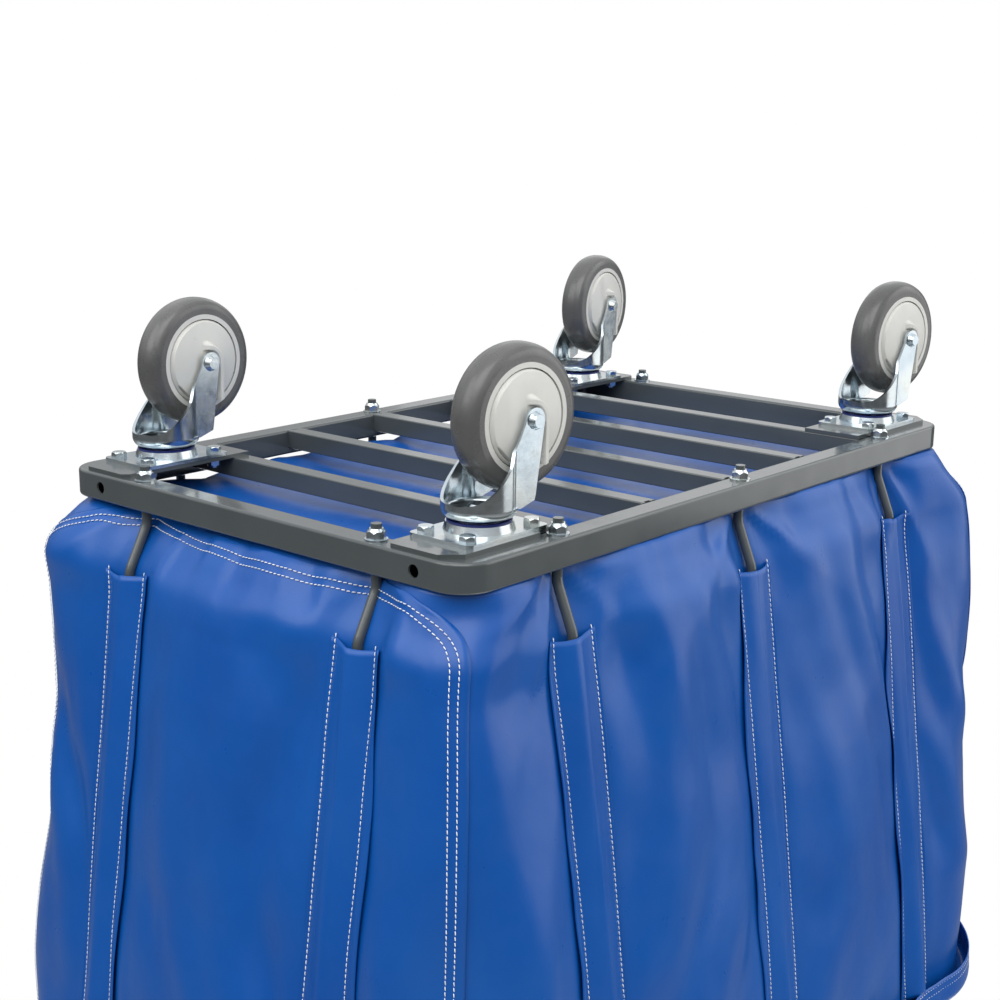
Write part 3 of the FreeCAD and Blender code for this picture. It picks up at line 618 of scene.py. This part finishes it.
CLOTH_T = 0.0011
PANEL_LOW = RING_TOP + 0.0075
PANEL_TURN = 0.054
TURN_FROM = 0.80
SEAM_AT = 0.0994
LAP = 0.028
STITCH_IN = (0.0088, 0.0160)
FLOOR_RINGS, FLOOR_CORE = 34, 0.17


def panel_outline(skin, middle, side, inset, count):
    """Half an end panel's outline moved in by inset, from the middle of its foot up one side, as f and z."""
    foot_f = np.linspace(0, TURN_FROM * SEAM_AT, 60)
    foot_z = PANEL_LOW + inset / skin.stretch(middle + side * foot_f, np.full(60, PANEL_LOW + inset))[1]
    foot_z = np.convolve(np.pad(foot_z, 6, "edge"), np.ones(13) / 13, "valid")
    heights = np.linspace(PANEL_LOW + PANEL_TURN, HEM_LOW + 0.004, count)
    side_f = SEAM_AT - inset / skin.stretch(np.full(count, middle + side * SEAM_AT), heights)[0]
    side_f = np.convolve(np.pad(side_f, 6, "edge"), np.ones(13) / 13, "valid")
    angle = np.linspace(0, math.pi / 2, 16)[1:-1]
    from_f, from_z, to_f, to_z = foot_f[-1], foot_z[-1], side_f[0], heights[0]
    turn_f = from_f + (to_f - from_f) * np.sin(angle)
    turn_z = to_z + (from_z - to_z) * np.cos(angle)
    return (np.concatenate([foot_f, turn_f, side_f]), np.concatenate([foot_z, turn_z, heights]))


def make_end_panel(name, middle, skin, mat):
    """One end panel, laid over the body panel's laps, and its flat area."""
    angle = np.linspace(0, math.pi / 2, 16)[:-1]
    heights = np.concatenate([PANEL_LOW + PANEL_TURN * (1 - np.cos(angle)),
                              np.linspace(PANEL_LOW + PANEL_TURN, WALL_HIGH, 100)])
    half = np.concatenate([SEAM_AT * (TURN_FROM + (1 - TURN_FROM) * np.sin(angle)), np.full(100, SEAM_AT)])
    u = np.linspace(-1, 1, 110)
    f = middle + half[:, None] * u[None, :]
    z = np.broadcast_to(heights[:, None], f.shape)
    girth = np.array([plan(h)[3] for h in heights])[:, None]
    to_edge = np.minimum((1 - np.abs(u))[None, :] * half[:, None] * girth, (z - PANEL_LOW) + 0.002)
    out = 0.0022 + 0.0010 * ripple(f * 60, z * 30, 3) * ease(1 - to_edge / 0.02)
    piece = add_mesh(name, skin.at(f, z, out), grid_faces(*f.shape), mat)
    thicken(piece, CLOTH_T)
    return piece, float(np.trapz(2 * half * girth[:, 0], heights))


def make_body(skin, mat):
    """The long panel, both sides and the floor between them, with a lap under each end panel.

    Gives the piece, its flat width and length, and its flat area."""
    heights = np.concatenate([[WALL_LOW], np.linspace(WALL_LOW + 0.003, WALL_HIGH, 118)])
    side_cols, end_cols = 150, 84
    rows = []
    for z in heights:
        edge = SEAM_AT - LAP / plan(z)[3]
        rows.append(np.concatenate([
            np.linspace(edge, 0.5 - edge, side_cols, endpoint=False),
            np.linspace(0.5 - edge, 0.5 + edge, end_cols, endpoint=False),
            np.linspace(0.5 + edge, 1 - edge, side_cols, endpoint=False),
            np.linspace(1 - edge, 1 + edge, end_cols, endpoint=False),
        ]))
    f = np.array(rows)
    z = np.broadcast_to(heights[:, None], f.shape)
    cols = f.shape[1]
    wall = skin.at(f, z)
    lap_top = PANEL_LOW + PANEL_TURN + LAP

    def kept(i, j):
        return heights[i] < lap_top or j % (side_cols + end_cols) < side_cols

    verts = [wall.reshape(-1, 3)]
    faces = grid_faces(len(heights), cols, True, kept)
    edge = wall[0]
    core = np.stack([np.clip(edge[:, 0], -FLOOR_CORE, FLOOR_CORE), np.zeros(cols), edge[:, 2]], -1)
    start = wall.shape[0] * cols
    for k in range(1, FLOOR_RINGS + 1):
        t = k / FLOOR_RINGS
        ring = edge * (1 - t) + core * t
        settle = ease((t - 0.02) / 0.2)
        sag = 0.0028 * ripple(ring[:, 0] * 14, ring[:, 1] * 16, 11) * settle
        ring[:, 2] = (1 - settle) * edge[:, 2] + settle * (RING_TOP + 0.0042) + sag
        verts.append(ring)
        below = 0 if k == 1 else start + (k - 2) * cols
        here = start + (k - 1) * cols
        for j in range(cols):
            n = (j + 1) % cols
            faces.append((below + n, below + j, here + j, here + n))
    body = add_mesh("bag_body_panel", np.concatenate(verts), faces, mat)
    weld = body.modifiers.new("join", "WELD")
    weld.merge_threshold = 0.0003
    thicken(body, CLOTH_T)
    girth_side = [(1 - 4 * (SEAM_AT - LAP / plan(h)[3])) * plan(h)[3] for h in heights]
    area = float(np.trapz(girth_side, heights))
    area += 4 * float(np.abs(edge[:, 0]).max() * np.abs(edge[:, 1]).max())
    area += 2 * (lap_top - WALL_LOW) * 2 * SEAM_AT * plan(0.25)[3]
    wide = (0.5 - 2 * SEAM_AT) * plan(WALL_HIGH)[3] + 2 * LAP
    long = 2 * (WALL_HIGH - WALL_LOW) + 2 * float(np.abs(edge[:, 1]).max())
    return body, (round(wide, 3), round(long, 3)), area


# ------------------------------------------------------------------ sleeves

SLEEVE_STITCH = 0.0255
SLEEVE_HALF = 0.029
FLAP_FOOT, FLAP_HEAD = 0.0335, 0.0400
END_SLEEVE_BASE, SIDE_SLEEVE_BASE = 0.0038, 0.0016
FIRST_SLEEVE_SEED = 40


class Sleeve:
    """A strip sewn over one rod: flat at its edges, drawn up over the rod in the middle."""

    def __init__(self, skin, rod, base, flap_side, seed):
        self.skin, self.rod, self.base, self.flap_side, self.seed = skin, rod, base, flap_side, seed

    def height(self, s, z):
        top, round_off = ROD_R + BAG_GAP + 0.0026, 0.018
        sides = math.hypot(SLEEVE_STITCH, round_off) - round_off
        fall = (np.sqrt(s ** 2 + round_off ** 2) - round_off) / sides
        tent = top * np.clip(1 - fall, 0, 1)
        edge = ease((np.abs(s) - SLEEVE_STITCH) / 0.006)
        lift = 0.0012 * edge * (1.2 + ripple(s * 0 + self.seed, z * 40, self.seed))
        wave = 0.0007 * ripple(s * 90, z * 26, self.seed + 5)
        return self.base + tent + lift + wave * (1 - edge)

    def at(self, s, z, out=0.0):
        """The point s metres across from the rod at height z."""
        centre, offset = self.rod
        girth = np.vectorize(lambda h: plan(h)[3])(z)
        f = centre + (offset + s) / girth
        return self.skin.at(f, z, self.height(s, z) + out), self.skin.normal(f, z)

    def build(self, name, mat):
        left, right = (FLAP_FOOT, SLEEVE_HALF) if self.flap_side < 0 else (SLEEVE_HALF, FLAP_FOOT)
        across = np.concatenate([
            np.linspace(-left, -SLEEVE_STITCH, 5)[:-1],
            np.linspace(-SLEEVE_STITCH, SLEEVE_STITCH, 31),
            np.linspace(SLEEVE_STITCH, right, 5)[1:],
        ])
        heights = np.linspace(SLEEVE_FOOT, SLEEVE_HEAD, 112)
        s, z = np.meshgrid(across, heights)
        widen = 1 + (FLAP_HEAD - FLAP_FOOT) / (FLAP_FOOT - SLEEVE_STITCH) * ease((z - SLEEVE_FOOT) / 0.20)
        past = np.sign(s) * np.maximum(np.abs(s) - SLEEVE_STITCH, 0)
        on_flap = np.sign(s) == self.flap_side
        s = s + 0.0014 * ripple(z * 12, s * 0, self.seed + 9) + np.where(on_flap, past * (widen - 1), 0)
        foot = ease((0.30 - z) / 0.05)
        dip = 0.004 * foot * (1 - (s / SLEEVE_HALF) ** 2)
        points, _ = self.at(s, z + dip)
        piece = add_mesh(name, points, grid_faces(*s.shape), mat)
        thicken(piece, CLOTH_T)
        return piece


# ------------------------------------------------------------------ stitching

STITCH_PITCH, STITCH_LONG, STITCH_HALF_W = 0.0050, 0.0040, 0.00055


def stitch_mesh(name, lines, mat):
    """Short lens-shaped stitches laid end to end along lines of points, each turned a little."""
    sides = 5
    ring = [(math.cos(2 * math.pi * k / sides), math.sin(2 * math.pi * k / sides)) for k in range(sides)]
    rows = [(-0.5, 0.0), (-0.36, 0.85), (0.0, 1.0), (0.36, 0.85), (0.5, 0.0)]
    verts, faces = [], []
    for points, normals in lines:
        step = np.linalg.norm(np.diff(points, axis=0), axis=1)
        along = np.concatenate([[0], np.cumsum(step)])
        places = np.arange(STITCH_PITCH / 2, along[-1], STITCH_PITCH)
        mid = np.stack([np.interp(places, along, points[:, k]) for k in range(3)], -1)
        tip = np.stack([np.interp(places + 0.001, along, points[:, k]) for k in range(3)], -1)
        up = np.stack([np.interp(places, along, normals[:, k]) for k in range(3)], -1)
        for n, (c, t, u) in enumerate(zip(mid, tip, up)):
            run = t - c
            if np.linalg.norm(run) < 1e-6:
                continue
            run = run / np.linalg.norm(run)
            u = u / np.linalg.norm(u)
            across = np.cross(u, run)
            run = run + 0.10 * across
            start = len(verts)
            for where, swell in rows:
                centre = c + run * where * STITCH_LONG + u * 0.0002 * (1 - 8 * where ** 2)
                if swell == 0.0:
                    verts.append(centre)
                    continue
                for cx, cy in ring:
                    verts.append(centre + swell * STITCH_HALF_W * (across * cx + u * cy * 0.8))
            first, last = start, start + 1 + 3 * sides
            for k in range(sides):
                m = (k + 1) % sides
                faces.append((first, start + 1 + m, start + 1 + k))
                for row in range(2):
                    p = start + 1 + row * sides
                    faces.append((p + k, p + m, p + sides + m, p + sides + k))
                faces.append((last, start + 1 + 2 * sides + k, start + 1 + 2 * sides + m))
    return add_mesh(name, verts, faces, mat)


def seam_lines(middle, skin):
    """The two rows of stitches inside one end panel's edge."""
    lines = []
    for inset in STITCH_IN:
        for side in (-1, 1):
            f, z = panel_outline(skin, middle, side, inset, 120)
            at = middle + side * f
            lines.append((skin.at(at, z, 0.0030), skin.normal(at, z)))
    return lines


# ------------------------------------------------------------------ hem

def make_hem(skin, mat):
    """The folded band over the mouth: down the outside over the bows, and a short turn inside."""
    out_gap = BAG_GAP + ROD_R + 0.0028
    top = HEM_TOP - 0.0022
    section = [(-0.0028, HEM_LOW - 0.004), (-0.0028, top - 0.010)]
    section += [(-0.0028 + (out_gap + 0.0028) * (1 - math.cos(t)) / 2, top - 0.010 + 0.010 * math.sin(t))
                for t in np.linspace(0, math.pi, 13)[1:-1]]
    section += [(out_gap, z) for z in np.linspace(top - 0.010, HEM_LOW + 0.001, 7)]
    cols = 420
    f = np.arange(cols) / cols
    rows = []
    for out, z in section:
        wave = 0.0007 * ripple(np.cos(2 * math.pi * f) * 9, np.sin(2 * math.pi * f) * 9 + z * 20, 21)
        base = skin.at(f, np.full(cols, min(z, WALL_HIGH)), np.full(cols, out) + wave)
        base[:, 2] = z
        rows.append(base)
    hem = add_mesh("bag_hem_band", np.array(rows), grid_faces(len(rows), cols, True), mat)
    thicken(hem, CLOTH_T)
    lines = []
    for z in (HEM_LOW + 0.005, HEM_LOW + 0.0125):
        g = np.linspace(0, 1, 500)
        line = skin.at(g, np.full(500, z), np.full(500, out_gap + 0.0008))
        line[:, 2] = z
        lines.append((line, skin.normal(g, np.full(500, z))))
    around = plan(WALL_HIGH)[3] + math.pi * out_gap
    across = float(np.sum(np.hypot(*np.diff(np.array(section), axis=0).T)))
    return hem, (round(around, 3), round(across, 3)), lines


def build_bag():
    """Every piece of the bag, and the stitches as solid thread."""
    skin = make_skin()
    blue = vinyl("vinyl_blue")
    white = thread("thread_white")
    body, body_flat, body_area = make_body(skin, blue)
    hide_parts("bag_body")
    pieces = [body]
    seams = []
    for name, middle in (("left", 0.5), ("right", 0.0)):
        panel, area = make_end_panel("bag_end_panel_" + name, middle, skin, blue)
        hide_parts("bag_end_" + name)
        pieces.append(panel)
        seams += seam_lines(middle, skin)
    sleeve_lines = []
    for n, rod in enumerate(RODS):
        at_end = on_end(rod)
        base, flap = (END_SLEEVE_BASE, -1) if at_end else (SIDE_SLEEVE_BASE, 1)
        sleeve = Sleeve(skin, rod, base, flap, FIRST_SLEEVE_SEED + n)
        piece = sleeve.build("sleeve_%02d" % (n + 1), blue)
        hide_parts("bag_sleeves_end" if at_end else "bag_sleeves_side")
        pieces.append(piece)
        heights = np.linspace(SLEEVE_FOOT - 0.003, SLEEVE_HEAD, 130)
        for s in (-SLEEVE_STITCH, SLEEVE_STITCH):
            wander = 0.0014 * ripple(heights * 12, heights * 0, sleeve.seed + 9)
            sleeve_lines.append(sleeve.at(s + wander, heights, 0.0006))
    hem, hem_flat, hem_lines = make_hem(skin, blue)
    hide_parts("bag_hem")
    pieces.append(hem)
    threads = [stitch_mesh("thread_seams", seams, white), stitch_mesh("thread_sleeves", sleeve_lines, white),
               stitch_mesh("thread_hem", hem_lines, white)]
    for piece in pieces + threads:
        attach(piece, "root")


# ------------------------------------------------------------------ thread guards

GUARD_R, GUARD_IN, GUARD_OUT = 0.0418, 0.014, 0.0166
GUARD_DOME, LEG_FACE = 0.0046, 0.0262
HUB_ROOM, HUB_FACE, BOLT_ROOM = 0.0165, 0.0204, 0.0052
WALL_IN, WALL_OUT = 0.0121, 0.0182
FOLD_DROP = 0.0032


def guard_height(u, v):
    """How far a guard stands from the wheel's middle: a dome, a wall behind the leg, and a fold before it.

    u runs the way the caster trails and v up towards the base, both from the axle."""
    far = np.hypot(u, v)
    dome = GUARD_OUT + GUARD_DOME * (1 - (far / GUARD_R) ** 2) - 0.0011 * ease((far - 0.0400) / 0.0018)
    from_leg = np.where(v < 0, far, np.abs(u))
    behind = ease((u + 0.006) / 0.010)
    slope = 0.0016 + 0.0030 * (1 - ease(u / 0.012)) * (v < 0.010)
    wall = ease((from_leg - WALL_IN) / 0.0009) * (1 - ease((from_leg - WALL_OUT + 0.0010) / slope)) * behind
    fold = ease((v - (0.014 + 0.93 * (u + 0.040))) / 0.0016) * (u < -0.004)
    slant = 0.0022 * ease((-u - 0.006) / 0.02) * (1 - fold)
    return dome + slant * (far < 0.0400) - FOLD_DROP * fold * (far < 0.0395) + wall * (LEG_FACE - dome)


def caster_axes(letter):
    """The middle of one caster's axle and of its kingpin, at floor level, and the way it trails."""
    middles = []
    for node in ("tyre_", "kingpin_"):
        low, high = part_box(node + letter)
        middles.append(Vector(((low.x + high.x) / 2, (low.y + high.y) / 2, 0)))
    axle, pivot = middles
    return axle, pivot, (axle - pivot).normalized()


def make_guards(letter, mat):
    """The two moulded guards of one caster, as shells that close against the wheel's hub."""
    axle, _, trailing = caster_axes(letter)
    axle, trailing = np.array((axle.x, axle.y, AXLE_Z)), np.array(trailing)
    up = np.array((0.0, 0.0, 1.0))
    across = np.cross(up, trailing)
    turns, rings = 240, 72
    angle = np.arange(turns) * 2 * math.pi / turns
    verts, faces = [], []
    for side in (1, -1):
        start = len(verts) * turns
        profile = [(GUARD_R * math.sqrt((k + 0.15) / rings), None) for k in range(rings)]
        profile += [(GUARD_R, None), (GUARD_R, GUARD_IN), (HUB_ROOM, GUARD_IN), (HUB_ROOM, HUB_FACE),
                    (BOLT_ROOM, HUB_FACE)]
        for r, w in profile:
            u, v = r * np.cos(angle), r * np.sin(angle)
            out = guard_height(u, v) if w is None else np.full(turns, w)
            verts.append(axle + u[:, None] * trailing + v[:, None] * up + side * out[:, None] * across)
        quads = grid_faces(len(profile), turns, True, start=start)
        last = start + (len(profile) - 1) * turns
        quads += band(last, start, turns)
        faces += quads if side < 0 else [q[::-1] for q in quads]
    piece = add_mesh("guard_pair_" + letter, np.concatenate(verts), faces, mat)
    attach(piece, "swivel_" + letter)
    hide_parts("guards_" + letter)


# ------------------------------------------------------------------ forks

SHEET = 0.0028
CROWN_R, CROWN_BEND, CROWN_TOP = 0.033, 0.010, 0.1446
LEG_HALF, LEG_END_R, LEG_REAR = 0.027, 0.011, 0.0385
FOLD_BACK, FOLD_FRONT = 0.0175, 0.0060
PIN_ROOM, RACE_R = 0.0085, 0.0170
LIP = np.array([[-0.0330, 0.1295], [-0.0280, 0.1290], [-0.0220, 0.1265], [-0.0140, 0.1205], [-0.0040, 0.1115],
                [0.0040, 0.1030], [0.0100, 0.0950], [0.0145, 0.0880], [0.0185, 0.0815], [0.0225, 0.0740],
                [0.0250, 0.0690], [0.0270, 0.0655]])


def leg_low(x):
    """The wheel-side edge of a fork's wall at x: a swept lip, then the round end about the axle."""
    round_end = AXLE_Z - np.sqrt(np.maximum(LEG_END_R ** 2 - (x - TRAIL) ** 2, 0))
    return np.where(x < LIP[-1, 0], np.interp(x, LIP[:, 0], LIP[:, 1]), round_end)


def leg_high(x):
    """The other edge: the rear edge of the leg, then its foot, then the crown's bend."""
    rear = AXLE_Z + (TRAIL + LEG_END_R - x) / (TRAIL + LEG_END_R - LEG_REAR) * (0.131 - AXLE_Z)
    foot = np.interp(x, [0.0150, 0.0210, LEG_REAR], [CROWN_TOP - CROWN_BEND, 0.1365, 0.1310])
    return np.where(x > LEG_REAR, rear, foot)


def fork_plan():
    """The wall seen along the swivel, from the leg's rear edge round to the nose: x and half width."""
    rear = TRAIL + LEG_END_R * np.cos(np.linspace(0, math.pi / 2, 16))[:-1]
    leg = np.linspace(TRAIL, FOLD_BACK, 12)[:-1]
    step = np.linspace(FOLD_BACK, FOLD_FRONT, 14)[:-1]
    turn = np.linspace(math.acos(FOLD_FRONT / CROWN_R), math.pi, 44)
    x = np.concatenate([rear, leg, step, CROWN_R * np.cos(turn)])
    crown_y = math.sqrt(CROWN_R ** 2 - FOLD_FRONT ** 2)
    y_step = LEG_HALF + (crown_y - LEG_HALF) * ease((FOLD_BACK - step) / (FOLD_BACK - FOLD_FRONT))
    y = np.concatenate([np.full(len(rear) + len(leg), LEG_HALF), y_step, CROWN_R * np.sin(turn)])
    return x, y


def make_fork(letter, mat):
    """One pressed fork: flat legs that fold out into the crown's round wall, and the crown with its race."""
    _, pivot, trailing = caster_axes(letter)
    turn = Matrix((trailing, Vector((-trailing.y, trailing.x, 0)), Vector((0, 0, 1)))).transposed()
    x, y = fork_plan()
    tangent_x, tangent_y = np.gradient(x), np.gradient(y)
    size = np.hypot(tangent_x, tangent_y)
    in_x, in_y = tangent_y / size, -tangent_x / size
    flip = np.where(in_y * y > 0, -1.0, 1.0)
    in_x, in_y = in_x * flip, in_y * flip
    in_x[-1], in_y[-1] = 1.0, 0.0
    rows = 40
    verts, faces = [], []
    for side in (1, -1):
        for depth in (0.0, SHEET):
            start = sum(len(v) for v in verts)
            low, high = leg_low(x), np.maximum(leg_high(x), leg_low(x))
            for k in range(rows):
                z = low + (high - low) * k / (rows - 1)
                verts.append(np.stack([x + in_x * depth, side * (y + in_y * depth), z], -1))
            quads = grid_faces(rows, len(x), start=start)
            faces += quads if (side > 0) == (depth > 0) else [q[::-1] for q in quads]
        cols = len(x)
        outer, inner = start - rows * cols, start
        for k in range(cols - 1):
            for base_row, swap in ((0, False), ((rows - 1) * cols, True)):
                a, b = outer + base_row + k, inner + base_row + k
                quad = (a, a + 1, b + 1, b)
                faces.append(quad[::-1] if swap == (side > 0) else quad)
    bend_r, bend_z = CROWN_R - CROWN_BEND, CROWN_TOP - CROWN_BEND
    profile = [(bend_r + CROWN_BEND * math.sin(t), bend_z + CROWN_BEND * math.cos(t))
               for t in np.linspace(math.pi / 2, 0, 12)]
    profile += [(PIN_ROOM, CROWN_TOP), (PIN_ROOM, CROWN_TOP - SHEET), (0.0125, CROWN_TOP - SHEET)]
    profile += [(RACE_R + 0.0042 * math.cos(t), CROWN_TOP - SHEET - 0.0026 * math.sin(t))
                for t in np.linspace(math.pi, 0, 13)]
    bend_in = CROWN_BEND - SHEET
    profile += [(bend_r + bend_in * math.sin(t), bend_z + bend_in * math.cos(t))
                for t in np.linspace(0.1, math.pi / 2, 12)]
    turns = 96
    start = sum(len(v) for v in verts)
    for r, z in profile:
        t = np.arange(turns) * 2 * math.pi / turns
        verts.append(np.stack([r * np.cos(t), r * np.sin(t), np.full(turns, z)], -1))
    quads = grid_faces(len(profile), turns, True, start=start)
    last = start + (len(profile) - 1) * turns
    quads += band(last, start, turns)
    faces += quads
    points = np.concatenate(verts) @ np.array(turn).T + np.array(pivot)
    piece = add_mesh("pressed_fork_" + letter, points, faces, mat)
    weld = piece.modifiers.new("join", "WELD")
    weld.merge_threshold = 0.00002
    split = piece.modifiers.new("edges", "EDGE_SPLIT")
    split.split_angle = math.radians(40)
    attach(piece, "swivel_" + letter)
    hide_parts("fork_" + letter)


# ------------------------------------------------------------------ CAD parts that stay

def finish_cad():
    """Materials for the CAD parts that stay visible."""
    coat = powder_coat("powder_coat_grey", (0.062, 0.072, 0.074))
    finishes = {
        "base_ring": coat, "slat": coat, "corner_plate": coat,
        "end_bow": coat, "side_bow": coat, "side_post": coat,
        "bow_nuts": zinc("zinc_fastener", 1.05), "bow_washers": zinc("zinc_washer", 1.05),
        "top_plate": zinc("zinc_plate"), "seal": moulded("seal_blue", (0.006, 0.014, 0.11), 0.35),
        "kingpin": zinc("zinc_kingpin"), "plate_bolts": zinc("zinc_bolts", 1.05),
        "axle": zinc("zinc_axle", 1.05),
        "core": moulded("core_plastic", (0.62, 0.62, 0.585), 0.36), "tyre": rubber("tyre_rubber"),
    }
    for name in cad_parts:
        for start, mat in finishes.items():
            if name.startswith(start):
                slots = bpy.data.objects[name].data.materials
                slots.clear()
                slots.append(mat)


make_camera()
make_world()
for light in SOFTBOXES:
    softbox(*light)
make_floor()
finish_cad()
guard_plastic = moulded("guard_plastic", (0.62, 0.62, 0.58), 0.34)
zinc_fork = zinc("zinc_pressed")
for caster in "abcd":
    make_guards(caster, guard_plastic)
    make_fork(caster, zinc_fork)
build_bag()
